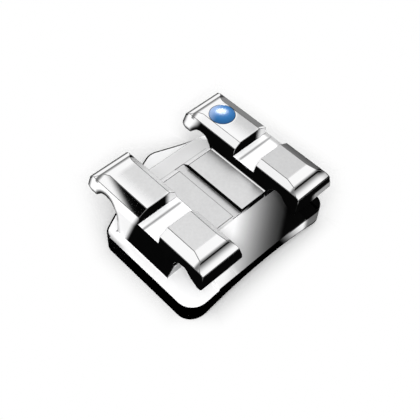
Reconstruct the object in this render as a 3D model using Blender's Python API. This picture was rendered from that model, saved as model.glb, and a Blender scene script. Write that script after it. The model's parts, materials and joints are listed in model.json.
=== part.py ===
"""Orthodontic twin bracket, one-piece steel body with four tie-wings and a bonded colour dot.

Metres, +Z away from the tooth. X runs along the archwire slot, Y across it. The body is
drawn about the centre of the slot floor, then set down so that the origin is under the middle
of the bracket, level with the lowest edges of its bonding base.
"""

import math

import bmesh
import bpy
from mathutils import Matrix, Vector

MM = 0.001

# Archwire slot, 0.022 inch wide
SLOT_WIDTH = 0.56 * MM
SLOT_DEPTH = 0.274 * MM

# The two rows of tie-wings and the gap between them, measured at the lower edge of the chamfers
TWIN_GAP = 1.60 * MM
ROW_WIDTH = 0.89 * MM
INNER_CHAMFER_RUN = 0.135 * MM
OUTER_CHAMFER_RUN = 0.20 * MM
CHAMFER_DROP = 0.10 * MM
INNER_FLARE = 0.08 * MM
OUTER_FLARE = 0.06 * MM
FLARE_DROP = 0.10 * MM
FOOT_TUCK = 0.03 * MM

# Front wings, towards -Y: lengths from the middle of the slot, drops from the wing top
FRONT_FLAT = 0.98 * MM
FRONT_STEP = 1.205 * MM
FRONT_REACH = 1.455 * MM
FRONT_NOSE_DROP = 0.13 * MM
FRONT_NOSE_LEAN = 0.04 * MM
FRONT_NOSE_HEIGHT = 0.385 * MM
FRONT_LIP = 0.115 * MM
FRONT_LIP_ANGLE = 35.0
FRONT_NOSE_RADIUS = 0.08 * MM
FRONT_ROOT = 0.71 * MM
FRONT_FOOT = 0.51 * MM
FRONT_HOOK_RADIUS = 0.20 * MM
FRONT_THICKNESS = 0.282 * MM

# Back wings, towards +Y
BACK_FLAT = 1.34 * MM
BACK_STEP = 1.50 * MM
BACK_REACH = 1.74 * MM
BACK_NOSE_DROP = 0.15 * MM
BACK_NOSE_LEAN = 0.05 * MM
BACK_NOSE_HEIGHT = 0.34 * MM
BACK_LIP = 0.26 * MM
BACK_LIP_ANGLE = 50.0
BACK_NOSE_RADIUS = 0.13 * MM
BACK_ROOT = 0.90 * MM
BACK_FOOT = 0.95 * MM
BACK_HOOK_RADIUS = 0.25 * MM
BACK_THICKNESS = 0.292 * MM

# What the four wings share
STRIP_DROP = 0.034 * MM
STEP_RUN = 0.025 * MM
STEP_DROP = 0.030 * MM
BROW_RADIUS = 0.045 * MM

# Saddle between the rows, with its long-axis scribe groove; drops from the slot floor
SADDLE_DROP = 0.18 * MM
SADDLE_FRONT = 0.68 * MM
SADDLE_BACK = 0.82 * MM
SADDLE_FILLET = 0.055 * MM
GROOVE_CENTRE_X = -0.065 * MM
GROOVE_WIDTH = 0.23 * MM
GROOVE_DEPTH = 0.10 * MM

# Ramps from the saddle down to the flange
RAMP_HALF_WIDTH = 0.95 * MM
RAMP_SPREAD = 0.30 * MM
FRONT_RAMP_STEP = 0.16 * MM
FRONT_RAMP_RUN = 0.52 * MM
BACK_RAMP_RUN = 0.78 * MM
RAMP_TOE = 0.10 * MM
RAMP_RADIUS = 0.60 * MM

# Bonding base, a shield-shaped plate bowed about Y like the face of the tooth
BASE_DROP = 0.80 * MM
BASE_THICKNESS = 0.28 * MM
BASE_TOP_RADIUS = 14.0 * MM
BASE_UNDER_RADIUS = 5.9 * MM
FLANGE_SIDE = 0.205 * MM
FLANGE_BACK = 0.15 * MM
FRONT_OVERHANG = 0.045 * MM
APEX_RISE = 0.87 * MM
FRONT_CORNER_RADIUS = 0.38 * MM
BACK_CORNER_RADIUS = 0.22 * MM
APEX_RADIUS = 0.33 * MM

# Colour dot on the back right wing
DOT_RADIUS = 0.27 * MM
DOT_FROM_SLOT = 1.07 * MM
DOT_CROWN = 0.055 * MM
DIMPLE_DEPTH = 0.04 * MM
DOT_GAP = 0.004 * MM

# How far cutters and embedded ends run on, and the facets of the bow and the arcs
RUN_ON = 0.20 * MM
BOW_STEP = 0.30 * MM
ARC_STEP = math.radians(11.0)
ROUND_STEPS = 40

HALF_SLOT = SLOT_WIDTH / 2
ROW_INNER = TWIN_GAP / 2
ROW_OUTER = ROW_INNER + ROW_WIDTH
INNER_WALL = ROW_INNER - INNER_FLARE
OUTER_WALL = ROW_OUTER + OUTER_FLARE
BASE_HALF_WIDTH = OUTER_WALL - FOOT_TUCK + FLANGE_SIDE
BASE_FRONT = FRONT_REACH - FRONT_OVERHANG
BASE_BACK = BACK_FOOT + FLANGE_BACK
TRUNK_BOTTOM = -BASE_DROP - BASE_THICKNESS / 2
FIXED_LENGTH = 2 * (BASE_BACK + APEX_RISE + RUN_ON)


def bow(x, radius):
    """Drop of a surface bowed about Y, at x from its middle."""
    return radius - math.sqrt(radius * radius - x * x)


def base_top(x):
    return -BASE_DROP - bow(x, BASE_TOP_RADIUS)


def base_under(x):
    return -BASE_DROP - BASE_THICKNESS - bow(x, BASE_UNDER_RADIUS)


def rounded(corners):
    """Closed outline of (a, b, radius) corners, each rounded; a fillet shrinks to fit its edges."""
    points = [Vector((a, b)) for a, b, radius in corners]
    count = len(points)
    lengths = [(points[(i + 1) % count] - points[i]).length for i in range(count)]
    turns = []
    reaches = []
    for i, (a, b, radius) in enumerate(corners):
        arriving = (points[i] - points[i - 1]).normalized()
        leaving = (points[(i + 1) % count] - points[i]).normalized()
        turn = arriving.angle_signed(leaving)
        turns.append(turn)
        reaches.append(radius * math.tan(abs(turn) / 2))
    shares = []
    for i in range(count):
        wanted = reaches[i] + reaches[(i + 1) % count]
        shares.append(min(1.0, 0.999 * lengths[i] / wanted) if wanted > 0 else 1.0)
    outline = []
    for i in range(count):
        reach = reaches[i] * min(shares[i - 1], shares[i])
        if reach == 0.0:
            outline.append(points[i])
            continue
        start = points[i] + (points[i - 1] - points[i]).normalized() * reach
        end = points[i] + (points[(i + 1) % count] - points[i]).normalized() * reach
        radius = reach / math.tan(abs(turns[i]) / 2)
        inward = ((start + end) / 2 - points[i]).normalized()
        centre = points[i] + inward * math.hypot(reach, radius)
        steps = max(2, math.ceil(abs(turns[i]) / ARC_STEP))
        sweep = (start - centre).angle_signed(end - centre)
        for k in range(steps + 1):
            spoke = start - centre
            spoke.rotate(Matrix.Rotation(-sweep * k / steps, 2))
            outline.append(centre + spoke)
    return outline


def collect(name, mesh, colour, roughness, metallic):
    """Object of a finished mesh with its own material."""
    data = bpy.data.meshes.new(name)
    bmesh.ops.recalc_face_normals(mesh, faces=mesh.faces)
    mesh.to_mesh(data)
    mesh.free()
    thing = bpy.data.objects.new(name, data)
    bpy.context.scene.collection.objects.link(thing)
    material = bpy.data.materials.new(name)
    material.use_nodes = True
    shader = material.node_tree.nodes["Principled BSDF"]
    shader.inputs["Base Color"].default_value = (*colour, 1.0)
    shader.inputs["Roughness"].default_value = roughness
    shader.inputs["Metallic"].default_value = metallic
    data.materials.append(material)
    return thing


def tool(name, mesh):
    """Helper solid that cuts or joins, left out of the finished part."""
    thing = collect(name, mesh, (0.8, 0.3, 0.1), 0.5, 0.0)
    thing.hide_render = True
    thing.display_type = "WIRE"
    return thing


def loft(rings, mesh=None):
    """Closed skin over rings of equal count, capped at both ends."""
    mesh = mesh or bmesh.new()
    loops = [[mesh.verts.new(point) for point in ring] for ring in rings]
    for near, far in zip(loops, loops[1:]):
        for i in range(len(near)):
            j = (i + 1) % len(near)
            mesh.faces.new((near[i], near[j], far[j], far[i]))
    mesh.faces.new(loops[0])
    mesh.faces.new(loops[-1])
    return mesh


def along_x(outline, start, end, mesh=None):
    """Prism of a (y, z) outline between two values of x."""
    return loft([[(x, y, z) for y, z in outline] for x in (start, end)], mesh)


def along_y(outline, start, end, mesh=None):
    """Prism of an (x, z) outline between two values of y."""
    return loft([[(x, y, z) for x, z in outline] for y in (start, end)], mesh)


def along_z(outline, start, end, mesh=None):
    """Prism of an (x, y) outline between two values of z."""
    return loft([[(x, y, z) for x, y in outline] for z in (start, end)], mesh)


def combine(target, operation, helper):
    step = target.modifiers.new(f"{operation.lower()} {helper.name}", "BOOLEAN")
    step.operation = operation
    step.object = helper
    step.solver = "EXACT"


def wing_side(sign, flat, step, reach, nose_drop, lean, height, lip, lip_angle, nose_radius,
              root, foot, hook_radius, thickness):
    """Corners of one side of the wing profile, from the slot floor out, round the nose and in."""
    arch = SLOT_DEPTH - thickness
    brow = SLOT_DEPTH - nose_drop
    sole = brow - height
    step_top = SLOT_DEPTH - STRIP_DROP
    lip_out = reach - lip
    hook_start = lip_out - (arch - sole) / math.tan(math.radians(lip_angle))
    corners = [
        (HALF_SLOT, 0.0, 0.0),
        (HALF_SLOT, SLOT_DEPTH, 0.0),
        (flat, SLOT_DEPTH, 0.0),
        (step, step_top, 0.0),
        (step + STEP_RUN, step_top - STEP_DROP, 0.0),
        (reach - lean, brow, BROW_RADIUS),
        (reach, sole, nose_radius),
        (lip_out, sole, nose_radius / 3),
        (hook_start, arch, hook_radius),
        (root, arch, hook_radius),
        (root, arch - 1.5 * hook_radius, hook_radius / 2),
        (foot, TRUNK_BOTTOM, 0.0),
    ]
    return [(sign * y, z, radius) for y, z, radius in corners]


def wing_profile():
    """Closed (y, z) outline of both wings, the slot between them and the trunk they stand on."""
    front = wing_side(-1, FRONT_FLAT, FRONT_STEP, FRONT_REACH, FRONT_NOSE_DROP, FRONT_NOSE_LEAN,
                      FRONT_NOSE_HEIGHT, FRONT_LIP, FRONT_LIP_ANGLE, FRONT_NOSE_RADIUS,
                      FRONT_ROOT, FRONT_FOOT, FRONT_HOOK_RADIUS, FRONT_THICKNESS)
    back = wing_side(1, BACK_FLAT, BACK_STEP, BACK_REACH, BACK_NOSE_DROP, BACK_NOSE_LEAN,
                     BACK_NOSE_HEIGHT, BACK_LIP, BACK_LIP_ANGLE, BACK_NOSE_RADIUS,
                     BACK_ROOT, BACK_FOOT, BACK_HOOK_RADIUS, BACK_THICKNESS)
    return rounded(back + front[::-1])


def row_outline(side):
    """The (x, z) outline of one row: flared walls under straight chamfers, open above the tops."""
    shoulder = SLOT_DEPTH - CHAMFER_DROP
    above = SLOT_DEPTH + CHAMFER_DROP / 2
    below = TRUNK_BOTTOM - RUN_ON
    outline = [(ROW_INNER + 1.5 * INNER_CHAMFER_RUN, above), (ROW_INNER, shoulder),
               (INNER_WALL, -FLARE_DROP), (INNER_WALL, below),
               (OUTER_WALL - FOOT_TUCK, below), (OUTER_WALL, -FLARE_DROP),
               (ROW_OUTER, shoulder), (ROW_OUTER - 1.5 * OUTER_CHAMFER_RUN, above)]
    return [(side * x, z) for x, z in outline]


def build_rows():
    """Both rows of wings: the wing profile held to the row sections, so the noses end square."""
    span = OUTER_WALL + RUN_ON
    rows = tool("wing rows", along_x(wing_profile(), -span, span))
    sections = bmesh.new()
    for side in (-1, 1):
        along_y(row_outline(side), -FIXED_LENGTH / 2, FIXED_LENGTH / 2, sections)
    combine(rows, "INTERSECT", tool("row sections", sections))
    return rows


def build_saddle():
    """Floor between the rows, curved up to meet their walls, with a ramp at each end."""
    floor = -SADDLE_DROP
    wall = INNER_WALL + RUN_ON / 2
    corner = rounded([(INNER_WALL, floor, SADDLE_FILLET), (INNER_WALL, 0.0, 0.0),
                      (0.0, 0.0, 0.0), (0.0, floor, 0.0)])
    curve = [(x, z) for x, z in corner if x > 0 and z < 0]
    curve.sort(key=lambda point: point[0])
    half = curve + [(wall, curve[-1][1]), (wall, TRUNK_BOTTOM)]
    outline = half + [(-x, z) for x, z in half[::-1]]
    saddle = tool("saddle", along_y(outline, -SADDLE_FRONT, SADDLE_BACK))

    toe = -BASE_DROP
    front_top = floor - FRONT_RAMP_STEP
    end = BASE_BACK + APEX_RISE + RUN_ON
    front = rounded([(0.0, TRUNK_BOTTOM, 0.0), (0.0, front_top, 0.0),
                     (-SADDLE_FRONT, front_top, 0.0),
                     (-SADDLE_FRONT - FRONT_RAMP_RUN, toe + RAMP_TOE, RAMP_RADIUS),
                     (-BASE_FRONT, toe, 0.0), (-BASE_FRONT - RUN_ON, toe - RAMP_TOE, 0.0),
                     (-BASE_FRONT - RUN_ON, TRUNK_BOTTOM, 0.0)])
    back = rounded([(0.0, TRUNK_BOTTOM, 0.0), (0.0, floor - GROOVE_DEPTH, 0.0),
                    (SADDLE_BACK - GROOVE_DEPTH, floor - GROOVE_DEPTH, 0.0),
                    (SADDLE_BACK - GROOVE_DEPTH, floor, 0.0), (SADDLE_BACK, floor, 0.0),
                    (SADDLE_BACK + BACK_RAMP_RUN, toe + RAMP_TOE, RAMP_RADIUS),
                    (end, toe, 0.0), (end, TRUNK_BOTTOM, 0.0)])
    wide = RAMP_HALF_WIDTH + RAMP_SPREAD + RUN_ON
    mesh = along_x(front, -wide, wide)
    ramps = tool("front ramp", mesh)
    combine(ramps, "UNION", tool("back ramp", along_x(back, -wide, wide)))
    top_half = RAMP_HALF_WIDTH
    foot_half = RAMP_HALF_WIDTH + RAMP_SPREAD
    flanks = [(-foot_half, TRUNK_BOTTOM), (foot_half, TRUNK_BOTTOM), (top_half, 0.0),
              (-top_half, 0.0)]
    combine(ramps, "INTERSECT",
            tool("ramp flanks", along_y(flanks, -FIXED_LENGTH / 2, FIXED_LENGTH / 2)))
    combine(ramps, "INTERSECT",
            tool("ramp outline", along_z(base_outline(), TRUNK_BOTTOM - RUN_ON, RUN_ON)))
    combine(ramps, "UNION", saddle)
    return ramps


def base_outline():
    """The (x, y) outline of the base: straight front, pointed back, all corners round."""
    return rounded([
        (-BASE_HALF_WIDTH, -BASE_FRONT, FRONT_CORNER_RADIUS),
        (BASE_HALF_WIDTH, -BASE_FRONT, FRONT_CORNER_RADIUS),
        (BASE_HALF_WIDTH, BASE_BACK, BACK_CORNER_RADIUS),
        (0.0, BASE_BACK + APEX_RISE, APEX_RADIUS),
        (-BASE_HALF_WIDTH, BASE_BACK, BACK_CORNER_RADIUS),
    ])


def build_body():
    """Base plate, saddle with ramps and wing rows as the one casting they are."""
    steps = math.ceil((BASE_HALF_WIDTH + RUN_ON) / BOW_STEP)
    stations = [(i + 0.5) * BOW_STEP for i in range(-steps - 1, steps + 1)]
    plate = [(x, base_top(x)) for x in stations] + [(x, base_under(x)) for x in stations[::-1]]
    body = collect("bracket_body", along_y(plate, -FIXED_LENGTH / 2, FIXED_LENGTH / 2),
                   (0.78, 0.79, 0.80), 0.18, 1.0)
    outline = along_z(base_outline(), -FIXED_LENGTH / 2, RUN_ON)
    combine(body, "INTERSECT", tool("base outline", outline))
    combine(body, "UNION", build_saddle())
    combine(body, "UNION", build_rows())

    half = GROOVE_WIDTH / 2
    groove = [(GROOVE_CENTRE_X - half, RUN_ON), (GROOVE_CENTRE_X - half, -SADDLE_DROP - GROOVE_DEPTH),
              (GROOVE_CENTRE_X + half, -SADDLE_DROP - GROOVE_DEPTH), (GROOVE_CENTRE_X + half, RUN_ON)]
    combine(body, "DIFFERENCE",
            tool("scribe groove", along_y(groove, -FIXED_LENGTH / 2, FIXED_LENGTH / 2)))
    combine(body, "DIFFERENCE", tool("dot dimple", disc(DOT_RADIUS, -DIMPLE_DEPTH, RUN_ON)))
    return body


def dot_centre():
    flat_inner = ROW_INNER + INNER_CHAMFER_RUN
    flat_outer = ROW_OUTER - OUTER_CHAMFER_RUN
    return (flat_inner + flat_outer) / 2, DOT_FROM_SLOT


def disc(radius, low, high):
    """Round prism at the dot's place, heights given from the wing top."""
    x, y = dot_centre()
    turns = [2 * math.pi * i / ROUND_STEPS for i in range(ROUND_STEPS)]
    circle = [(x + radius * math.cos(t), y + radius * math.sin(t)) for t in turns]
    return along_z(circle, SLOT_DEPTH + low, SLOT_DEPTH + high)


def build_dot():
    """Domed enamel drop that fills the dimple and stands a little proud of the wing."""
    x, y = dot_centre()
    radius = DOT_RADIUS - DOT_GAP
    sphere = (radius * radius + DOT_CROWN * DOT_CROWN) / (2 * DOT_CROWN)
    sweep = math.asin(radius / sphere)
    rings = 5
    profile = [(radius, -DIMPLE_DEPTH + DOT_GAP)]
    for k in range(rings):
        angle = sweep * (1 - k / rings)
        profile.append((sphere * math.sin(angle), sphere * math.cos(angle) - sphere + DOT_CROWN))
    mesh = bmesh.new()
    loops = []
    for distance, height in profile:
        loops.append([mesh.verts.new((x + distance * math.cos(2 * math.pi * i / ROUND_STEPS),
                                      y + distance * math.sin(2 * math.pi * i / ROUND_STEPS),
                                      SLOT_DEPTH + height)) for i in range(ROUND_STEPS)])
    for near, far in zip(loops, loops[1:]):
        for i in range(ROUND_STEPS):
            j = (i + 1) % ROUND_STEPS
            mesh.faces.new((near[i], near[j], far[j], far[i]))
    mesh.faces.new(loops[0])
    peak = mesh.verts.new((x, y, SLOT_DEPTH + DOT_CROWN))
    for i in range(ROUND_STEPS):
        mesh.faces.new((loops[-1][i], loops[-1][(i + 1) % ROUND_STEPS], peak))
    return collect("id_dot", mesh, (0.012, 0.19, 0.58), 0.12, 0.0)


def main():
    for thing in list(bpy.data.objects):
        bpy.data.objects.remove(thing, do_unlink=True)
    body = build_body()
    dot = build_dot()
    bpy.context.view_layer.update()
    shape = body.evaluated_get(bpy.context.evaluated_depsgraph_get())
    corners = [Vector(corner) for corner in shape.bound_box]
    middle = (min(c.y for c in corners) + max(c.y for c in corners)) / 2
    for thing in bpy.data.objects:
        thing.location = (0.0, -middle, -min(c.z for c in corners))
    for thing in (body, dot):
        thing.data.shade_smooth()
        thing.data.set_sharp_from_angle(angle=math.radians(25.0))


main()
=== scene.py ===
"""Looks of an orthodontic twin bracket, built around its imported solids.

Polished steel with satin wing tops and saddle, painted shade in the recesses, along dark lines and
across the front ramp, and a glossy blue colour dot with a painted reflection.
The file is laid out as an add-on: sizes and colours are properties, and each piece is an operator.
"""

import json
import math

import bmesh
import bpy
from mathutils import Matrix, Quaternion, Vector

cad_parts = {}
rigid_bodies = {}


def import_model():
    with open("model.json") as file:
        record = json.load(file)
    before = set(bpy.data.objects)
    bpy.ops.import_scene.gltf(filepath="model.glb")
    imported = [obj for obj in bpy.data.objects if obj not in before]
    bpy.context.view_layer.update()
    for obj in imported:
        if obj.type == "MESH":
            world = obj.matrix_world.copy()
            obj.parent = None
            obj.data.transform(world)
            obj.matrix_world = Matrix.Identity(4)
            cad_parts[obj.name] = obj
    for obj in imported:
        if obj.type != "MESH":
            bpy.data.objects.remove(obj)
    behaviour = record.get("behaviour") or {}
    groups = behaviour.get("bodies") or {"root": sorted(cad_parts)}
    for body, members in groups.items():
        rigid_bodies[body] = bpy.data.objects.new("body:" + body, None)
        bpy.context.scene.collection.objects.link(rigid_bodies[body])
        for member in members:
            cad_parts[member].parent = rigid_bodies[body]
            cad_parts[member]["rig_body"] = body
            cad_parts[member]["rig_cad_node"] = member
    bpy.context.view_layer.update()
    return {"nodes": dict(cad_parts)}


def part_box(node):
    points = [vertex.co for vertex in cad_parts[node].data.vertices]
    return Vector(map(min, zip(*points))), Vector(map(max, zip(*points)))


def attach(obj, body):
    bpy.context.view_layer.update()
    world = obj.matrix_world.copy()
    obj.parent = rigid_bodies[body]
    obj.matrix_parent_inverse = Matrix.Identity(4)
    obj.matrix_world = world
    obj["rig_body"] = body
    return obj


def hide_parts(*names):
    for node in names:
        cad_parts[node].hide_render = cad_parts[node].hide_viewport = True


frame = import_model()

bl_info = {
    "name": "Twin Bracket",
    "version": (1, 0, 0),
    "blender": (4, 5, 0),
    "location": "3D View > Sidebar > Bracket",
    "description": "Builds the steel body, the colour dot and the stage of a twin bracket",
    "category": "Object",
}

MM = 0.001

# Meshes are edited with 1 unit for 1 mm, and merged, cut and smoothed by these
MERGE_DISTANCE = 0.0001
CUT_THRESHOLD = 1e-5
FLAT_ANGLE = math.radians(0.4)
SHARP_ANGLE = math.radians(24.0)
DOT_SHARP_ANGLE = math.radians(35.0)
DOT_RIM_ANGLE = math.radians(40.0)
DOT_RIM_ROUND = 0.006
NORMAL_WEIGHT = 80

# Material slots of the steel body
PLAIN, ROUNDED, LINED = range(3)

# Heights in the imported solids, in millimetres, where NOSE_LEVEL is just under the nose tops; a
# bowed face drops by its bow times x squared
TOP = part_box("bracket_body")[1].z / MM
NOSE_LEVEL = 1.50
SLOT_FLOOR = 1.4036
SADDLE_TOP = 1.2236
GROOVE_FLOOR = 1.1236
FLANGE_TOP = 0.6036
FLANGE_BOW = 0.5 / 14.0
UNDER_TOP = 0.3216
UNDER_BOW = 0.0868
UNDER_LIMIT = 0.33

# Distances from the middle, along the slot: the rows' walls and the flats of their tops
ROW_INNER = 0.72
TOP_INNER = 0.935
TOP_OUTER = 1.49
ROW_OUTER = 1.69
FLANGE_END = 1.92

# Places across the slot, from front to back
FRONT_STEP = -1.445
FRONT_FLAT = -1.22
RAMP_HEAD = -0.92
SLOT_FRONT = -0.52
SLOT_BACK = 0.04
BACK_RAMP_HEAD = 0.56
BACK_FLAT = 1.02
BACK_STEP = 1.26

# Side view of a back wing: its nose curls round one middle and its hook round another
NOSE_MIDDLE = 1.37
NOSE_LEAN = 0.147
NOSE_FOOT = 1.19
NOSE_SOLE = 1.3176
NOSE_RADIUS = 0.13
HOOK_MIDDLE = 0.945
HOOK_HEIGHT = 1.1356
HOOK_RADIUS = 0.265

# Faces that look up or down, by the upward part of their normal
FACES_UP = 0.8
FACES_DOWN = -0.9

# The toe of the front ramp, which runs into the flange with no edge
TOE_TOP = 0.8
TOE_FRONT, TOE_BACK = -1.6, -1.0
TOE_HALF_WIDTH = 1.5

# The back edges of the flange, which slope from the point to the corners
BACK_EDGE = 1.30
BACK_EDGE_SLOPE = 0.43
FLANGE_MARGIN = 0.02
BACK_TOE_HEIGHT = 0.13

# Least share of a whole square that a pocket is cut in, and the lean of its walls
WHOLE_SIDE = 0.98
WHOLE_AREA = 0.985
POCKET_DRAFT = 0.12

# Cells of the noise in each millimetre, and the screen's gamma for levels read as it shows them
GRAIN_SCALE = 16.0
CLOUD_SCALE = 3.5
SCREEN_GAMMA = 2.2

# Roughness of the steel's finishes and of the enamel
POLISH_ROUGHNESS = 0.06
SATIN_ROUGHNESS = 0.32
MATT_ROUGHNESS = 0.6
ENAMEL_ROUGHNESS = 0.24


class Wire:
    """A number socket in a node tree, which adds Math nodes when it is used in an expression."""

    def __init__(self, graph, socket):
        self.graph = graph
        self.socket = socket

    def math(self, operation, *values):
        sockets = dict(enumerate(values))
        node = self.graph.add("Math", {"operation": operation}, sockets)
        return Wire(self.graph, node.outputs[0])

    def __add__(self, other):
        return self.math("ADD", self, other)

    def __sub__(self, other):
        return self.math("SUBTRACT", self, other)

    def __mul__(self, other):
        return self.math("MULTIPLY", self, other)

    def __truediv__(self, other):
        return self.math("DIVIDE", self, other)

    def __radd__(self, other):
        return self.math("ADD", other, self)

    def __rsub__(self, other):
        return self.math("SUBTRACT", other, self)

    def __rmul__(self, other):
        return self.math("MULTIPLY", other, self)

    def __abs__(self):
        return self.math("ABSOLUTE", self)

    def __pow__(self, other):
        return self.math("POWER", self, other)

    def root(self):
        return self.math("SQRT", self)

    def most(self, other):
        return self.math("MAXIMUM", self, other)

    def least(self, other):
        return self.math("MINIMUM", self, other)

    def capped(self):
        """Held between 0 and 1."""
        return self.least(1.0).most(0.0)

    def rise(self, low, high):
        """0 below low and 1 above high, with a soft step between; high below low falls instead."""
        if low > high:
            return 1 - self.rise(high, low)
        node = self.graph.add(
            "MapRange",
            {"interpolation_type": "SMOOTHSTEP", "clamp": True},
            {"Value": self, "From Min": low, "From Max": high},
        )
        return Wire(self.graph, node.outputs["Result"])

    def within(self, low, high, soft):
        """1 between low and high, fading out over soft on either side."""
        return self.rise(low - soft, low + soft) * self.rise(high + soft, high - soft)

    def pick(self, first, second):
        """Number that goes from first to second as this goes from 0 to 1."""
        return first + self * (second - first)


class Graph:
    """A node tree, filled through one method."""

    def __init__(self, tree):
        self.tree = tree
        self.tree.nodes.clear()

    def add(self, kind, settings=None, sockets=None):
        """Adds a shader node: its settings first, then the values or links of its sockets."""
        node = self.tree.nodes.new("ShaderNode" + kind)
        for name, value in (settings or {}).items():
            setattr(node, name, value)
        for name, value in (sockets or {}).items():
            socket = node.inputs[name]
            if isinstance(value, Wire):
                self.tree.links.new(value.socket, socket)
            elif isinstance(value, bpy.types.NodeSocket):
                self.tree.links.new(value, socket)
            else:
                socket.default_value = value
        return node

    def split(self, vector, scale=1.0):
        """The three parts of a vector, each times scale."""
        parts = self.add("SeparateXYZ", None, {"Vector": vector})
        wires = [Wire(self, socket) for socket in parts.outputs]
        return [wire * scale for wire in wires] if scale != 1.0 else wires

    def object_place(self):
        """The point in the piece's own space, and its three parts in millimetres."""
        place = self.add("TexCoord").outputs["Object"]
        return (place, *self.split(place, 1 / MM))

    def blend(self, share, first, second):
        """Colour that goes from first to second as share goes from 0 to 1."""
        node = self.add("Mix", {"data_type": "RGBA"}, {"Factor": share, 6: first, 7: second})
        return node.outputs[2]

    def greyed(self, red_green, blue=None):
        """Colour of a changing grey level, whose blue part may differ a little."""
        blue = red_green if blue is None else blue
        return self.add("CombineColor", None, {0: red_green, 1: red_green, 2: blue}).outputs[0]

    def noise(self, vector, scale, detail=2.0, roughness=0.5):
        """Noise from 0 to 1, with scale in cells per millimetre."""
        node = self.add(
            "TexNoise",
            None,
            {"Vector": vector, "Scale": scale / MM, "Detail": detail, "Roughness": roughness},
        )
        return Wire(self, node.outputs["Fac"])

    def show(self, shader):
        """Links a shader to the material's output."""
        self.add("OutputMaterial", None, {"Surface": shader.outputs[0]})


def reach(first, second):
    """Length of a vector with these two parts."""
    return (first * first + second * second).root()


def grey(level):
    return (level, level, level, 1.0)


def rgba(colour):
    return (*colour, 1.0)


def new_material(name):
    material = bpy.data.materials.new(name)
    material.use_nodes = True
    return material, Graph(material.node_tree)


def deselect_all():
    if bpy.context.object and bpy.context.object.mode != "OBJECT":
        bpy.ops.object.mode_set(mode="OBJECT")
    bpy.ops.object.select_all(action="DESELECT")


def make_active(thing):
    deselect_all()
    thing.select_set(True)
    bpy.context.view_layer.objects.active = thing


def apply_modifier(thing, kind, **settings):
    make_active(thing)
    modifier = thing.modifiers.new(kind.lower(), kind)
    for name, value in settings.items():
        setattr(modifier, name, value)
    bpy.ops.object.modifier_apply(modifier=modifier.name)


def resize(piece, factor):
    """Scales a piece about the origin, so that meshes are edited with 1 unit for 1 mm."""
    make_active(piece)
    piece.scale = (factor, factor, factor)
    bpy.ops.object.transform_apply(location=False, rotation=False, scale=True)


def copy_of_node(node, name):
    """A free copy of a CAD node in millimetre units, its loose triangles merged into flat faces."""
    source = frame["nodes"][node]
    piece = source.copy()
    piece.data = source.data.copy()
    piece.name = piece.data.name = name
    piece.parent = None
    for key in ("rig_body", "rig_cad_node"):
        del piece[key]
    bpy.context.scene.collection.objects.link(piece)
    piece.data.materials.clear()
    resize(piece, 1 / MM)
    bpy.ops.object.mode_set(mode="EDIT")
    bpy.ops.mesh.select_all(action="SELECT")
    bpy.ops.mesh.remove_doubles(threshold=MERGE_DISTANCE)
    bpy.ops.mesh.dissolve_limited(angle_limit=FLAT_ANGLE)
    bpy.ops.object.mode_set(mode="OBJECT")
    return piece


def select_faces(piece, wanted):
    """Selects the faces that wanted is true of, in edit mode, and leaves nothing else selected."""
    shape = bmesh.from_edit_mesh(piece.data)
    for face in shape.faces:
        face.select_set(False)
    picked = [face for face in shape.faces if wanted(face)]
    for face in picked:
        face.select_set(True)
    shape.select_flush_mode()
    bmesh.update_edit_mesh(piece.data)
    return len(picked)


def on_ramp_toe(point):
    """Whether a point is where the front ramp runs into the flange."""
    return point.z < TOE_TOP and TOE_FRONT < point.y < TOE_BACK and abs(point.x) < TOE_HALF_WIDTH


def round_edges(piece, width):
    """Rounds the sharp convex edges of plain faces, with strips of the second material."""
    skin = bmesh.new()
    skin.from_mesh(piece.data)
    weight = skin.edges.layers.float.new("bevel_weight_edge")
    for edge in skin.edges:
        sharp = edge.calc_face_angle_signed(0.0) > SHARP_ANGLE
        plain = all(face.material_index == PLAIN for face in edge.link_faces)
        blended = on_ramp_toe((edge.verts[0].co + edge.verts[1].co) / 2)
        edge[weight] = 1.0 if sharp and plain and not blended else 0.0
    skin.to_mesh(piece.data)
    skin.free()
    apply_modifier(
        piece,
        "BEVEL",
        width=width,
        segments=1,
        limit_method="WEIGHT",
        use_clamp_overlap=False,
        material=ROUNDED,
    )


def shade(piece):
    """Smooth shading, with the sharp edges kept sharp."""
    make_active(piece)
    bpy.ops.object.shade_smooth()
    bpy.ops.object.mode_set(mode="EDIT")
    bpy.ops.mesh.select_mode(type="EDGE")
    bpy.ops.mesh.select_all(action="DESELECT")
    bpy.ops.mesh.edges_select_sharp(sharpness=SHARP_ANGLE)
    bpy.ops.mesh.mark_sharp()
    bpy.ops.mesh.select_mode(type="VERT")
    bpy.ops.object.mode_set(mode="OBJECT")
    apply_modifier(piece, "WEIGHTED_NORMAL", keep_sharp=True, weight=NORMAL_WEIGHT)


def line_outline(piece, width, region, wanted):
    """Parts off a strip round a region of faces, in the third material where wanted is true."""
    make_active(piece)
    bpy.ops.object.mode_set(mode="EDIT")
    if not select_faces(piece, region):
        raise RuntimeError("there is no face to line")
    shape = bmesh.from_edit_mesh(piece.data)
    for face in shape.faces:
        if face.select:
            face.material_index = LINED
    bpy.ops.mesh.inset(thickness=width, depth=0.0, use_individual=False, use_even_offset=False)
    shape = bmesh.from_edit_mesh(piece.data)
    for face in shape.faces:
        inner = face.select or not wanted(face.calc_center_median())
        if face.material_index == LINED and inner:
            face.material_index = PLAIN
    bmesh.update_edit_mesh(piece.data)
    bpy.ops.object.mode_set(mode="OBJECT")


def dot_box():
    """Lowest and highest corner, middle and radius of the colour dot's node, in millimetres."""
    low, high = (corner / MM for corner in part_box("id_dot"))
    return low, high, (low + high) / 2, (high.x - low.x) / 2


# Steel


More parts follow.
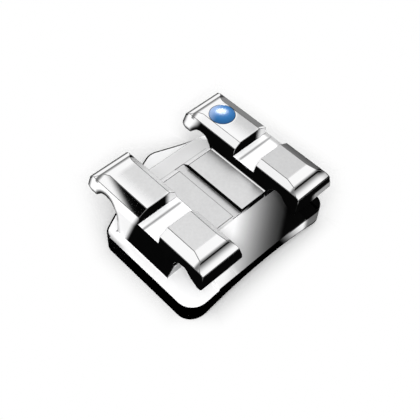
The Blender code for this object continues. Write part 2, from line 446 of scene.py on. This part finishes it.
class SteelMasks:
    """Which part of the steel a point is on, as numbers from 0 to 1 read off its place and normal.

    Places are in millimetres. The parts of the normal are across, along and lean: along the
    slot, across it towards the back, and up.
    """

    def __init__(self, g):
        self.place, x, y, z = g.object_place()
        across, along, lean = g.split(g.add("NewGeometry").outputs["Normal"])
        self.x, self.y, self.z = x, y, z
        self.across, self.along, self.lean = across, along, lean

        self.over_flange = z + x * x * FLANGE_BOW - FLANGE_TOP
        self.above_flange = self.over_flange.rise(0.004, 0.02)
        self.leftward = across.rise(-0.55, -0.80)
        self.downward = lean.rise(-0.15, -0.45)
        self.right = x.rise(0.0, 0.1)
        self.front = y.rise(-0.45, -0.6)
        self.right_front = self.right * self.front
        self.between_rows = abs(x).rise(ROW_INNER - 0.01, ROW_INNER - 0.05)
        self.saddle = self.at_height(SADDLE_TOP) * self.between_rows
        self.groove = self.at_height(GROOVE_FLOOR) * self.between_rows
        self.slot = self.at_height(SLOT_FLOOR) * y.within(SLOT_FRONT, SLOT_BACK, 0.002)

        self.ramp = y.rise(RAMP_HEAD + 0.02, RAMP_HEAD - 0.01) * lean.rise(0.45, 0.60)
        self.ramp = self.ramp * z.rise(1.25, 1.20) * x.rise(-0.85, -0.65)
        self.back_ramp = y.rise(BACK_RAMP_HEAD - 0.03, BACK_RAMP_HEAD + 0.04)
        self.back_ramp = self.back_ramp * z.rise(1.22, 1.18)
        self.back_ramp = self.back_ramp * lean.rise(0.30, 0.50) * x.within(-1.25, 1.0, 0.1)

        # Small faces that catch the light: the ends of the slot's back wall, the lip under the
        # front right nose and the left sill of the saddle; and the inner chamfers on the left
        self.slot_end = x.within(-0.98, -0.68, 0.08) + x.rise(1.38, 1.58)
        self.slot_end = self.slot_end * y.within(SLOT_BACK - 0.04, SLOT_BACK + 0.04, 0.02)
        self.slot_end = self.slot_end * z.rise(SLOT_FLOOR, SLOT_FLOOR + 0.02)
        self.lip = x.rise(1.15, 1.35) * z.rise(1.40, 1.33) * y.rise(-1.50, -1.60)
        self.sill = self.between_rows * x.rise(0.05, -0.05) * z.within(1.06, 1.24, 0.02)
        self.sill = self.sill * self.front
        self.inner = across.rise(0.35, 0.50) * x.rise(-0.5, -0.6)
        self.inner = self.inner * z.rise(NOSE_LEVEL + 0.02, NOSE_LEVEL + 0.06)

    def at_height(self, height):
        return self.z.within(height - 0.01, height + 0.01, 0.008)

    def painted_shade(self):
        """Painted shade: black on the walls, noses, undersides and ledge, where shade falls, but
        for the parts that catch the light.
        """
        x, y, z, lean = self.x, self.y, self.z, self.lean
        nose = (y + 0.35 * (z - 1.3)).rise(1.08, 1.30) * x.rise(0.95, 0.90) * self.right
        foot = y.rise(-1.30, -1.36) * z.rise(0.78, 0.74) * x.rise(-0.6, -0.65)
        sail = (y - 0.37 * (1.58 - z)).rise(-0.02, 0.12) * x.rise(-1.58, -1.62)
        walls = self.leftward * (1 - (nose + foot + sail).capped())

        lit = (self.slot_end + self.lip + self.sill).capped()
        noses = z.rise(1.08, 1.16) * lean.rise(0.72, 0.42) * (1 - abs(self.across).rise(0.55, 0.80))
        noses = noses * self.along.rise(0.2, -0.1) * (1 - 0.85 * lit)
        unders = self.downward * (1 - self.right_front)
        ledge = self.between_rows * y.rise(RAMP_HEAD + 0.03, RAMP_HEAD + 0.01)
        ledge = ledge * lean.rise(0.55, 0.35) * z.rise(1.02, 1.05) * x.rise(0.0, 0.30)
        painted_shade = walls.most(noses).most(unders).most(ledge) * self.above_flange

        # Painted shade on the wall under the front right wing
        painted_under_wing_shade = self.right_front * x.rise(ROW_INNER - 0.02, ROW_INNER + 0.04)
        painted_under_wing_shade = painted_under_wing_shade * z.rise(NOSE_LEVEL, NOSE_LEVEL - 0.10)
        painted_under_wing_shade = painted_under_wing_shade * self.over_flange.rise(-0.02, -0.008) * (1 - self.downward)
        painted_under_wing_shade = painted_under_wing_shade * (1 - self.ramp * self.above_flange) * (1 - 0.85 * self.lip)
        return painted_shade.most(painted_under_wing_shade)

    def satin(self):
        """Satin wing tops, saddle and groove; the tops keep a polished collar round the dot."""
        x, y = self.x, self.y
        _, _, dot, _ = dot_box()
        collar = reach(x - dot.x, y - dot.y).rise(0.28, 0.32)
        fade = x.rise(-1.48, -1.18) * (1 - self.right * x.rise(1.40, 0.98))
        tops = y.within(FRONT_FLAT, SLOT_FRONT, 0.02) + y.within(SLOT_BACK, BACK_FLAT, 0.06) * fade
        tops = tops * self.z.rise(TOP - 0.03, TOP - 0.01)
        tops = tops * abs(x).within(TOP_INNER, TOP_OUTER, 0.004) * collar
        return (tops + self.saddle + self.groove).capped()

    def matte(self):
        """Matt slot floors, flange, ramps and lit faces, which don't mirror the studio."""
        flange = (1 - self.above_flange) * self.lean.rise(0.80, 0.95) * self.x.rise(0.0, -0.5)
        hood = self.right_front * self.downward * self.above_flange
        sill = self.sill * self.lean.rise(0.5, 0.3)
        matte = self.slot
        for part in (
            flange,
            0.55 * self.inner,
            hood,
            self.ramp,
            0.9 * self.leftward * self.above_flange,
            self.slot_end,
            self.lip,
            0.5 * self.back_ramp,
            sill,
        ):
            matte = matte.most(part)
        return matte.capped()

    def lines(self):
        """Painted dark lines, mostly painted shade: along the slot floor and at its right end, over
        the steps, round the back noses, at the flange's left brink and as a shadow under the front
        rim; and a line across the saddle.
        """
        x, y, z = self.x, self.y, self.z
        below_flange = 1 - self.above_flange
        floor = 0.75 * y.within(-0.135, -0.09, 0.03)
        floor = floor * abs(x).rise(TOP_INNER - 0.2, TOP_INNER - 0.1)
        floor = self.slot * floor.most(0.5 * x.rise(ROW_OUTER - 0.09, ROW_OUTER - 0.01))

        back = 0.8 * y.rise(BACK_STEP - 0.09, BACK_STEP - 0.02)
        back = back * y.rise(BACK_STEP + 0.03, BACK_STEP + 0.01) + 0.9 * y.rise(1.365, 1.40)
        front = 0.8 * y.rise(FRONT_STEP + 0.055, FRONT_STEP - 0.005)
        front = front * y.rise(FRONT_STEP - 0.155, FRONT_STEP - 0.025)
        corner = 0.4 * self.right_front * x.rise(TOP_OUTER - 0.04, ROW_OUTER - 0.01)
        step = z.rise(NOSE_LEVEL, NOSE_LEVEL + 0.04) * (back + front + corner)

        outline = 0.98 * self.nose_outline() * self.above_flange
        brink = 0.6 * x.rise(0.12 - FLANGE_END, -FLANGE_END) * y.rise(0.1, 0.5) * below_flange
        end = 0.5 * x.rise(ROW_OUTER - 0.04, ROW_OUTER - 0.005)
        end = end * z.rise(NOSE_LEVEL, NOSE_LEVEL + 0.06) + 0.5 * self.inner * y.rise(0.55, 1.25)
        scribe = 0.6 * x.within(-0.196, -0.182, 0.008) * self.saddle
        # Painted shadow under the front rim
        over_under = z + x * x * UNDER_BOW - UNDER_TOP
        rim = over_under.rise(0.07, 0.02).most(self.over_flange.rise(-0.06, -0.02))
        rim = 0.75 * rim * x.rise(0.5, 0.9) * self.front * self.lean.rise(0.4, 0.2) * below_flange
        rim = rim + 0.6 * self.lip * z.rise(1.235, 1.195)
        return (floor + step + outline + brink + end + scribe + rim).capped()

    def nose_outline(self):
        """Painted dark line of shade round the side walls of the back noses and along their hooks.
        """
        y, z = self.y, self.z
        nose = (y + NOSE_LEAN * (z - NOSE_FOOT) - NOSE_MIDDLE).most(0.0)
        trunk = y.rise(HOOK_MIDDLE + 0.005, HOOK_MIDDLE - 0.005)
        nose = NOSE_RADIUS - reach(nose, (NOSE_SOLE - z).most(0.0)) + trunk
        hook = reach(y - HOOK_MIDDLE, (z - HOOK_HEIGHT).most(0.0)) - HOOK_RADIUS
        line = nose.least(hook).rise(0.11, 0.02) * self.leftward * y.rise(0.3, 0.5)
        return line * (0.4 + 0.6 * z.rise(0.85, 1.05))

    def painted_ramp_shade(self):
        """Painted shade of the front ramp as a screen shows it: light at the left, dark at the
        right, in place of its reflection.
        """
        painted_tone = 0.80 + 0.733 * (self.y + 1.053) - 0.463 * self.x
        return (1.12 * painted_tone - 0.11).least(0.93).most(0.01)


def steel_material(sizes):
    """Polished steel: satin on the wing tops and saddle, with painted shade in the recesses and
    hooks, along dark lines and across the front ramp.
    """
    material, g = new_material("bracket_steel")
    masks = SteelMasks(g)
    satin, matte, painted_tone = masks.satin(), masks.matte(), masks.painted_ramp_shade()
    painted_shade, lines = masks.painted_shade(), masks.lines()
    # The painted dark lines join the painted shade in the black shader
    painted_shade = (painted_shade + lines * (1 - painted_shade)).capped()
    # Where the painted ramp shade is darkest, the ramp turns to the black shader
    painted_shade = painted_shade.most(masks.ramp * painted_tone.rise(0.15, 0.03))

    grain = g.noise(masks.place, GRAIN_SCALE, 4.0, 0.7)
    cloud = g.noise(masks.place, CLOUD_SCALE, 2.0, 0.5)
    # Painted shading: the satin darkens towards the right, and the right part of the saddle is
    # lighter
    satin_level = 0.84 + 0.24 * grain + 0.05 * cloud - 0.04 * masks.x
    satin_level = satin_level + 0.08 * masks.saddle * masks.x.rise(-0.1, 0.2)
    level = satin.pick(sizes.polish_level, sizes.satin_level * satin_level)
    level = level * (1 - 0.18 * matte) * (1 - 0.12 * masks.back_ramp) * (1 - 0.62 * masks.lip)
    # The front ramp's colour is its painted shade gradient, in place of the steel's level
    level = masks.ramp.pick(level, painted_tone**SCREEN_GAMMA * (0.72 + 0.06 * grain)).capped()
    satin_rough = satin.pick(POLISH_ROUGHNESS, SATIN_ROUGHNESS + 0.10 * grain)
    bump = g.add(
        "Bump", None, {"Strength": 0.15, "Distance": 0.002 * MM, "Height": grain * satin}
    )
    steel = g.add(
        "BsdfPrincipled",
        None,
        {
            "Base Color": g.greyed(level, level * 1.004),
            "Roughness": matte.pick(satin_rough, MATT_ROUGHNESS),
            "Metallic": 1 - 0.9 * matte,
            "Normal": bump.outputs[0],
        },
    )
    # Black shader that carries the painted shade in the recesses and hooks and along the dark lines
    dark = g.add(
        "BsdfPrincipled",
        None,
        {
            "Base Color": g.greyed(sizes.painted_shade_level * (0.7 + 0.6 * cloud)),
            "Roughness": MATT_ROUGHNESS + 0.1 * grain,
            "Specular IOR Level": 0.0,
        },
    )
    g.show(g.add("MixShader", None, {0: painted_shade, 1: steel.outputs[0], 2: dark.outputs[0]}))
    return material


def edge_material(name, dark):
    """The rounded-off edges, darker than the faces they part, with painted shade that makes them
    black below the wing tops.
    """
    material, g = new_material(name)
    place, _, _, z = g.object_place()
    wear = g.noise(place, 9.0, 3.0, 0.6)
    # Painted shade: the edges turn black below the wing tops
    painted_tone = dark * (0.8 + 0.4 * wear) * (0.03 + 0.97 * z.rise(1.44, 1.52))
    shader = g.add(
        "BsdfPrincipled",
        None,
        {"Base Color": g.greyed(painted_tone), "Roughness": 0.22 + 0.1 * wear, "Metallic": 1.0},
    )
    g.show(shader)
    return material


class BodySizes(bpy.types.PropertyGroup):
    """Sizes and finish of the steel body."""

    edge_round: bpy.props.FloatProperty(
        name="Edge Round",
        description="Width of the rounding along the sharp edges",
        default=0.008 * MM,
        min=0.0,
        unit="LENGTH",
        precision=6,
    )
    # Width of the painted shade line along the back of the flange
    outline: bpy.props.FloatProperty(
        name="Outline",
        description="Width of the dark line along the back of the flange",
        default=0.035 * MM,
        min=0.0,
        unit="LENGTH",
        precision=6,
    )
    pocket_pitch: bpy.props.FloatProperty(
        name="Pocket Pitch",
        description="Spacing of the retention pockets, which is the width of the base's facets",
        default=0.30 * MM,
        min=0.0,
        unit="LENGTH",
        precision=6,
    )
    pocket_rib: bpy.props.FloatProperty(
        name="Pocket Rib",
        description="Half the width of the ribs between the pockets",
        default=0.04 * MM,
        min=0.0,
        unit="LENGTH",
        precision=6,
    )
    pocket_depth: bpy.props.FloatProperty(
        name="Pocket Depth",
        description="Depth of the retention pockets",
        default=0.08 * MM,
        min=0.0,
        unit="LENGTH",
        precision=6,
    )
    polish_level: bpy.props.FloatProperty(
        name="Polish Level",
        description="Reflectance of the polished steel",
        default=0.95,
        min=0.0,
        max=1.0,
        subtype="FACTOR",
    )
    satin_level: bpy.props.FloatProperty(
        name="Satin Level",
        description="Reflectance of the satin wing tops and saddle",
        default=0.68,
        min=0.0,
        max=1.0,
        subtype="FACTOR",
    )
    # Level of the painted shade in the recesses and hooks
    painted_shade_level: bpy.props.FloatProperty(
        name="Recess Level",
        description="Reflectance of the dark recesses and hooks",
        default=0.0015,
        min=0.0,
        max=1.0,
        subtype="FACTOR",
    )
    edge_level: bpy.props.FloatProperty(
        name="Edge Level",
        description="Reflectance of the rounded edges",
        default=0.22,
        min=0.0,
        max=1.0,
        subtype="FACTOR",
    )
    # Level of the painted shade line along the back of the flange
    outline_level: bpy.props.FloatProperty(
        name="Outline Level",
        description="Reflectance of the dark line",
        default=0.02,
        min=0.0,
        max=1.0,
        subtype="FACTOR",
    )


class BRACKET_OT_body(bpy.types.Operator):
    """Build the steel body with its rounded edges and retention pockets"""

    bl_idname = "bracket.body"
    bl_label = "Steel Body"

    def execute(self, context):
        sizes = context.scene.bracket_body
        piece = copy_of_node("bracket_body", "steel_body")
        self.sink_pockets(piece, sizes)
        piece.data.materials.append(steel_material(sizes))
        piece.data.materials.append(edge_material("bracket_edge", sizes.edge_level))
        # Edge strips that carry the painted shade line along the flange's back
        piece.data.materials.append(edge_material("bracket_outline", sizes.outline_level))
        self.line_flange(piece, sizes.outline / MM)
        round_edges(piece, sizes.edge_round / MM)
        shade(piece)
        resize(piece, MM)
        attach(piece, "root")
        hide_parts("bracket_body")
        return {"FINISHED"}

    @staticmethod
    def line_flange(piece, width):
        """A painted dark line of shade along the back edges of the flange, past the toe of the back
        ramp.
        """

        def flange(face):
            middle = face.calc_center_median()
            height = middle.z + middle.x * middle.x * FLANGE_BOW - FLANGE_TOP
            toe = middle.y > BACK_EDGE and height < BACK_TOE_HEIGHT
            return face.normal.z > FACES_UP and (abs(height) < FLANGE_MARGIN or toe)

        def back(middle):
            return middle.y + BACK_EDGE_SLOPE * abs(middle.x) > BACK_EDGE

        line_outline(piece, width, flange, back)

    @staticmethod
    def sink_pockets(piece, sizes):
        """Cuts the facets of the bonding face across into squares, and sinks the whole ones."""
        pitch = sizes.pocket_pitch / MM
        depth = sizes.pocket_depth / MM
        draft = POCKET_DRAFT * depth
        low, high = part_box("bracket_body")
        lines = int((high.y - low.y) / sizes.pocket_pitch / 2) + 1

        def under(face):
            return face.normal.z < FACES_DOWN and face.calc_center_median().z < UNDER_LIMIT

        def whole(face):
            if len(face.verts) != 4 or not under(face):
                return False
            wide = max(v.co.x for v in face.verts) - min(v.co.x for v in face.verts)
            deep = max(v.co.y for v in face.verts) - min(v.co.y for v in face.verts)
            square = face.calc_area() > WHOLE_AREA * wide * deep
            return square and min(wide, deep) > WHOLE_SIDE * pitch

        make_active(piece)
        bpy.ops.object.mode_set(mode="EDIT")
        for line in range(-lines, lines + 1):
            if not select_faces(piece, under):
                raise RuntimeError("the body has no bonding face to cut pockets in")
            bpy.ops.mesh.bisect(
                plane_co=(0.0, (line + 0.5) * pitch, 0.0),
                plane_no=(0.0, 1.0, 0.0),
                threshold=CUT_THRESHOLD,
            )
        if not select_faces(piece, whole):
            raise RuntimeError("no square of the bonding face is whole")
        bpy.ops.mesh.inset(thickness=sizes.pocket_rib / MM, depth=0.0, use_individual=True)
        bpy.ops.mesh.inset(thickness=draft, depth=-depth, use_individual=True)
        bpy.ops.object.mode_set(mode="OBJECT")


# Colour dot


def enamel_material(sizes):
    """Blue enamel under a clear gloss: deeper towards its rim, with a painted reflection that pales
    it towards the back.
    """
    material, g = new_material("dot_enamel")
    place, x, y, _ = g.object_place()
    _, _, centre, radius = dot_box()
    x, y = x - centre.x, y - centre.y
    rim = (reach(x, y) / radius).rise(0.55, 1.0)
    cloud = g.noise(place, 6.0, 2.0, 0.5)
    # Painted reflection: the back of the drop pales
    painted_sheen = ((0.9 * y - 0.4 * x) / radius).rise(0.1, 1.0)
    deeper = rgba([0.72 * part for part in sizes.colour])
    brighter = rgba([min(1.0, 1.3 * part) for part in sizes.colour])
    colour = g.blend(rim, rgba(sizes.colour), deeper)
    colour = g.blend(0.12 * cloud, colour, brighter)
    colour = g.blend(0.3 * painted_sheen, colour, rgba(sizes.painted_sheen_colour))
    ripple = g.noise(place, 14.0, 1.0, 0.5)
    bump = g.add("Bump", None, {"Strength": 0.02, "Distance": 0.001 * MM, "Height": ripple})
    shader = g.add(
        "BsdfPrincipled",
        None,
        {
            "Base Color": colour,
            "Roughness": ENAMEL_ROUGHNESS + 0.04 * cloud,
            "IOR": 1.5,
            "Specular IOR Level": 0.3,
            "Normal": bump.outputs[0],
        },
    )
    g.show(shader)
    return material


class DotSizes(bpy.types.PropertyGroup):
    """Sizes and colour of the enamel dot."""

    colour: bpy.props.FloatVectorProperty(
        name="Enamel Colour",
        description="Colour of the enamel drop",
        default=(0.0006, 0.077, 0.225),
        min=0.0,
        max=1.0,
        subtype="COLOR",
    )
    # Colour of the painted reflection that pales the back of the drop
    painted_sheen_colour: bpy.props.FloatVectorProperty(
        name="Pale Colour",
        description="Colour that the back of the drop pales to",
        default=(0.50, 0.56, 0.70),
        min=0.0,
        max=1.0,
        subtype="COLOR",
    )
    crown: bpy.props.FloatProperty(
        name="Crown",
        description="Height of the dome over the wing top",
        default=0.055 * MM,
        unit="LENGTH",
        precision=6,
    )
    steps: bpy.props.IntProperty(
        name="Steps",
        description="Facets round the dot",
        default=96,
        min=12,
        subtype="UNSIGNED",
    )


class BRACKET_OT_dot(bpy.types.Operator):
    """Build the domed enamel drop that sits in its dimple"""

    bl_idname = "bracket.dot"
    bl_label = "Colour Dot"

    def execute(self, context):
        sizes = context.scene.bracket_dot
        low, high, centre, radius = dot_box()
        crown = sizes.crown / MM
        ball = (radius**2 + crown**2) / (2 * crown)
        deselect_all()
        bpy.ops.mesh.primitive_uv_sphere_add(
            segments=sizes.steps,
            ring_count=sizes.steps,
            radius=ball,
            location=(centre.x, centre.y, high.z - ball),
        )
        piece = context.object
        piece.name = piece.data.name = "colour_dot"
        bpy.ops.object.transform_apply(location=True, rotation=True, scale=True)
        bpy.ops.object.mode_set(mode="EDIT")
        bpy.ops.mesh.select_all(action="SELECT")
        bpy.ops.mesh.bisect(
            plane_co=(0.0, 0.0, high.z - crown),
            plane_no=(0.0, 0.0, 1.0),
            clear_inner=True,
            use_fill=False,
            threshold=CUT_THRESHOLD,
        )
        bpy.ops.mesh.select_all(action="DESELECT")
        bpy.ops.mesh.select_non_manifold()
        bpy.ops.mesh.extrude_region_move(
            TRANSFORM_OT_translate={"value": (0.0, 0.0, low.z - high.z + crown)}
        )
        bpy.ops.mesh.edge_face_add()
        bpy.ops.mesh.select_all(action="SELECT")
        bpy.ops.mesh.remove_doubles(threshold=MERGE_DISTANCE)
        bpy.ops.mesh.normals_make_consistent(inside=False)
        bpy.ops.object.mode_set(mode="OBJECT")
        apply_modifier(
            piece,
            "BEVEL",
            width=DOT_RIM_ROUND,
            segments=3,
            limit_method="ANGLE",
            angle_limit=DOT_RIM_ANGLE,
        )
        make_active(piece)
        bpy.ops.object.shade_smooth_by_angle(angle=DOT_SHARP_ANGLE)
        resize(piece, MM)
        piece.data.materials.append(enamel_material(sizes))
        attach(piece, "root")
        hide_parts("id_dot")
        return {"FINISHED"}


# Stage

# How far the floor lies below the part, and the levels of its shadow and of its reflection
FLOOR_DROP = 0.002
FLOOR_SHADE = 0.15
FLOOR_SHINE = 0.95

# Corners of the part's outline as the camera sees it on the floor, in millimetres: the flange,
# and the wings above it
FLANGE_OUTLINE = (
    (-1.07, 2.5),
    (-1.9, 0.71),
    (-1.86, -1.13),
    (-1.3, -1.65),
    (1.91, -1.61),
    (2.24, -1.33),
    (1.61, 1.59),
    (0.02, 2.56),
)
WING_OUTLINE = (
    (1.73, 2.49),
    (1.53, 2.21),
    (-0.94, -0.56),
    (1.91, -1.61),
    (2.61, -1.29),
    (2.98, -0.93),
    (2.88, 2.59),
)

# Cards by name: the material, and the four corners in millimetres
CARDS = {
    "left_floor_card": ("black_card", (-3.4, -2.2, 0), (-1.5, -2.2, 0), (-1.5, 1, 0), (-3.4, 1, 0)),
    "corner_card": ("black_card", (-2.05, 0.98, 0), (-1.2, 0.98, 0), (-1.2, 2, 0), (-2.05, 1.6, 0)),
    "right_floor_card": ("dim_card", (2.4, -3.4, 0), (3.4, -3.4, 0), (3.4, -0.6, 0), (2, -0.6, 0)),
    "back_floor_card": ("black_card", (-0.9, 2.2, 0), (5, 2.2, 0), (5, 4.6, 0), (-0.9, 4.6, 0)),
    "chamfer_card": (
        "chamfer_card",
        (-3.2, 0.9, 3.6),
        (-2.2, 0.9, 3.6),
        (-2.2, 3.4, 3.6),
        (-3.2, 3.4, 3.6),
    ),
    "right_grey_card": ("grey_card", (12, -1, 0.3), (12, 10, 0.3), (12, 10, 2.8), (12, -1, 2.8)),
    "front_floor_card": (
        "rim_card",
        (-3.4, -3.4, 0),
        (2.4, -3.4, 0),
        (2.4, -1.3, 0),
        (-3.4, -1.3, 0),
    ),
    "front_graded_card": ("graded_card", (-9, -8, 4), (15, -8, 4), (15, -8, 17), (-9, -8, 17)),
}

# Lamps by name: the way to the lamp, half its width in degrees, its level and what it lights
BESIDE_CAMERA = (-0.4413, -0.4102, 0.7981)
LAMPS = {
    "floor_lamp": (BESIDE_CAMERA, 20, 2.95, "floor"),
    "floor_top_lamp": ((0.0, 0.0, 1.0), 66, 3.4, "floor"),
    "body_lamp": (BESIDE_CAMERA, 12, 0.8, "steel_body"),
    "dot_lamp": ((0.545, 0.545, 0.637), 13, 2.0, "colour_dot"),
}
LAMP_DISTANCE = 40.0

# The camera, in millimetres
CAMERA_PLACE = (-6.4822, -6.1675, 12.2066)
CAMERA_TURN = (0.88137, 0.286874, -0.136566, -0.349629)
SENSOR_WIDTH = 36.0
CLIP_START, CLIP_END = 0.5, 2000.0


def world_light(sizes):
    """White studio dome: plain for the floor, shaded towards the horizon in reflections."""
    world = bpy.data.worlds.new("studio")
    bpy.context.scene.world = world
    world.use_nodes = True
    g = Graph(world.node_tree)
    x, y, z = g.split(g.add("TexCoord").outputs["Generated"])
    horizon = x.rise(0.2, 0.9).pick(0.55, 0.24)
    horizon = y.rise(0.55, 0.95).pick(horizon, 0.80)
    horizon = y.rise(-0.25, -0.55).pick(horizon, 0.03)
    dome = z.rise(0.14, 0.42).pick(horizon, sizes.dome)
    dome = y.rise(-0.30, -0.50).pick(dome, 0.03)
    glossy = Wire(g, g.add("LightPath").outputs["Is Glossy Ray"])
    colour = g.greyed(glossy.pick(1.0, dome))
    shine = g.add("Background", None, {"Color": colour, "Strength": 1.0})
    g.add("OutputWorld", None, {"Surface": shine.outputs[0]})


def outside(x, y, corners):
    """Distance of a floor point outside a convex outline, whose corners go anticlockwise."""
    far = None
    for (x0, y0), (x1, y1) in zip(corners, corners[1:] + corners[:1]):
        long = math.hypot(x1 - x0, y1 - y0)
        across, up = (y1 - y0) / long, (x0 - x1) / long
        edge = x * across + y * up - (x0 * across + y0 * up)
        far = edge if far is None else far.most(edge)
    return far


def floor_material():
    """Pale floor: the bracket's soft shadow lies near it, and fades to plain white further out."""
    material, g = new_material("pale_floor")
    _, x, y, _ = g.object_place()
    light = g.add("LightPath")
    camera = Wire(g, light.outputs["Is Camera Ray"])
    glossy = Wire(g, light.outputs["Is Glossy Ray"])
    away = outside(x, y, FLANGE_OUTLINE).least(outside(x, y, WING_OUTLINE))
    share = camera * away.rise(-0.05, 0.50) + glossy * FLOOR_SHINE
    matt = g.add("BsdfDiffuse", None, {"Color": grey(FLOOR_SHADE)})
    plain = g.add("Emission", None, {"Color": grey(1.0), "Strength": 1.0})
    g.show(g.add("MixShader", None, {0: share, 1: matt.outputs[0], 2: plain.outputs[0]}))
    return material


def chamfer_level(x, y, z):
    """Dark to white, as the outer chamfer of the back left wing mirrors it."""
    return (-2.114 * x + 0.838 * y - 6.297).rise(0.76, 1.35)


def rim_level(x, y, z):
    """Light under the right part of the front rim, and dark elsewhere."""
    return x.rise(0.75, 1.5) * (1 - 0.85 * x.rise(1.50, 1.95))


def ramp_level(x, y, z):
    """White on the left to black on the right, as the front ramp and its toe show it."""
    along = 0.53 * x - 0.68 * z + 2.75 + 2.6 * z.rise(9.2, 10.4)
    fade = ((1.6 - along) / 1.95).capped()
    return fade * fade


# Level of each card's light, which is a number or a wire
CARD_LEVELS = {
    "black_card": lambda x, y, z: 0.0,
    "dim_card": lambda x, y, z: 0.12,
    "grey_card": lambda x, y, z: 0.13 + 0.018 * y,
    "chamfer_card": chamfer_level,
    "rim_card": rim_level,
    "graded_card": ramp_level,
}


def card_material(name):
    """Emission seen only in reflections, made once for the cards that share it."""
    if name in bpy.data.materials:
        return bpy.data.materials[name]
    material, g = new_material(name)
    _, x, y, z = g.object_place()
    level = CARD_LEVELS[name](x, y, z)
    colour = g.greyed(level) if isinstance(level, Wire) else grey(level)
    g.show(g.add("Emission", None, {"Color": colour, "Strength": 1.0}))
    return material


def only_reflected(thing):
    """Keeps a card out of the picture and out of the light, so that only steel shows it."""
    thing.visible_camera = False
    thing.visible_diffuse = False
    thing.visible_shadow = False
    thing.visible_transmission = False
    thing.visible_volume_scatter = False


def card(name, material, first, second, third, fourth):
    """Flat card with four corners in millimetres, which go round it."""
    deselect_all()
    bpy.ops.mesh.primitive_plane_add(size=1.0)
    thing = bpy.context.object
    thing.name = thing.data.name = name
    for vertex, corner in zip(thing.data.vertices, (first, second, fourth, third)):
        vertex.co = Vector(corner) * MM
    thing.data.materials.append(material)
    only_reflected(thing)


def soft_lamp(name, way, spread, strength, receiver):
    """A far round lamp, as wide as spread degrees either side, that one piece receives."""
    deselect_all()
    bpy.ops.object.light_add(type="SUN", location=Vector(way) * LAMP_DISTANCE * MM)
    lamp = bpy.context.object
    lamp.name = name
    lamp.data.angle = math.radians(2 * spread)
    lamp.data.energy = strength * math.pi
    lamp.rotation_mode = "QUATERNION"
    lamp.rotation_quaternion = Vector(way).to_track_quat("Z", "Y")
    takers = bpy.data.collections.new(name + "_takers")
    takers.objects.link(bpy.data.objects[receiver])
    lamp.light_linking.receiver_collection = takers


def add_floor(size):
    deselect_all()
    bpy.ops.mesh.primitive_plane_add(size=size, location=(0.0, 0.0, 0.0))
    floor = bpy.context.object
    floor.name = floor.data.name = "floor"
    for vertex in floor.data.vertices:
        vertex.co.z = -FLOOR_DROP * MM
    floor.data.materials.append(floor_material())


def add_camera(lens):
    deselect_all()
    bpy.ops.object.camera_add(location=Vector(CAMERA_PLACE) * MM)
    camera = bpy.context.object
    camera.name = "camera"
    camera.rotation_mode = "QUATERNION"
    camera.rotation_quaternion = Quaternion(CAMERA_TURN)
    camera.data.sensor_width = SENSOR_WIDTH
    camera.data.lens = lens
    camera.data.clip_start = CLIP_START * MM
    camera.data.clip_end = CLIP_END * MM
    bpy.context.scene.camera = camera


class StageSizes(bpy.types.PropertyGroup):
    """Sizes and levels of the studio."""

    floor: bpy.props.FloatProperty(
        name="Floor Size",
        description="Side of the square floor",
        default=0.6,
        unit="LENGTH",
    )
    dome: bpy.props.FloatProperty(
        name="Dome Level",
        description="Brightness of the white dome overhead",
        default=1.0,
        min=0.0,
        soft_max=2.0,
        subtype="FACTOR",
    )
    lens: bpy.props.FloatProperty(
        name="Lens",
        description="Focal length of the camera in millimetres",
        default=62.0,
        min=1.0,
        unit="CAMERA",
    )


class BRACKET_OT_stage(bpy.types.Operator):
    """Build the floor, the cards, the lights and the camera"""

    bl_idname = "bracket.stage"
    bl_label = "Stage"

    def execute(self, context):
        sizes = context.scene.bracket_stage
        context.scene.view_settings.view_transform = "Standard"
        add_floor(sizes.floor)
        for name, (material, *corners) in CARDS.items():
            card(name, card_material(material), *corners)
        world_light(sizes)
        for name, (way, spread, strength, receiver) in LAMPS.items():
            soft_lamp(name, way, spread, strength, receiver)
        add_camera(sizes.lens)
        return {"FINISHED"}


class BRACKET_PT_panel(bpy.types.Panel):
    """Lists the bracket's pieces, sizes and colours"""

    bl_idname = "BRACKET_PT_panel"
    bl_label = "Twin Bracket"
    bl_space_type = "VIEW_3D"
    bl_region_type = "UI"
    bl_category = "Bracket"

    def draw(self, context):
        for group, operator in (
            (context.scene.bracket_body, BRACKET_OT_body),
            (context.scene.bracket_dot, BRACKET_OT_dot),
            (context.scene.bracket_stage, BRACKET_OT_stage),
        ):
            box = self.layout.box()
            for name in group.__annotations__:
                box.prop(group, name)
            box.operator(operator.bl_idname)


CLASSES = (
    BodySizes,
    DotSizes,
    StageSizes,
    BRACKET_OT_body,
    BRACKET_OT_dot,
    BRACKET_OT_stage,
    BRACKET_PT_panel,
)


def register():
    for item in CLASSES:
        bpy.utils.register_class(item)
    bpy.types.Scene.bracket_body = bpy.props.PointerProperty(type=BodySizes)
    bpy.types.Scene.bracket_dot = bpy.props.PointerProperty(type=DotSizes)
    bpy.types.Scene.bracket_stage = bpy.props.PointerProperty(type=StageSizes)


def unregister():
    del bpy.types.Scene.bracket_body
    del bpy.types.Scene.bracket_dot
    del bpy.types.Scene.bracket_stage
    for item in reversed(CLASSES):
        bpy.utils.unregister_class(item)


def main():
    register()
    bpy.ops.bracket.body()
    bpy.ops.bracket.dot()
    bpy.ops.bracket.stage()


if __name__ == "__main__":
    main()
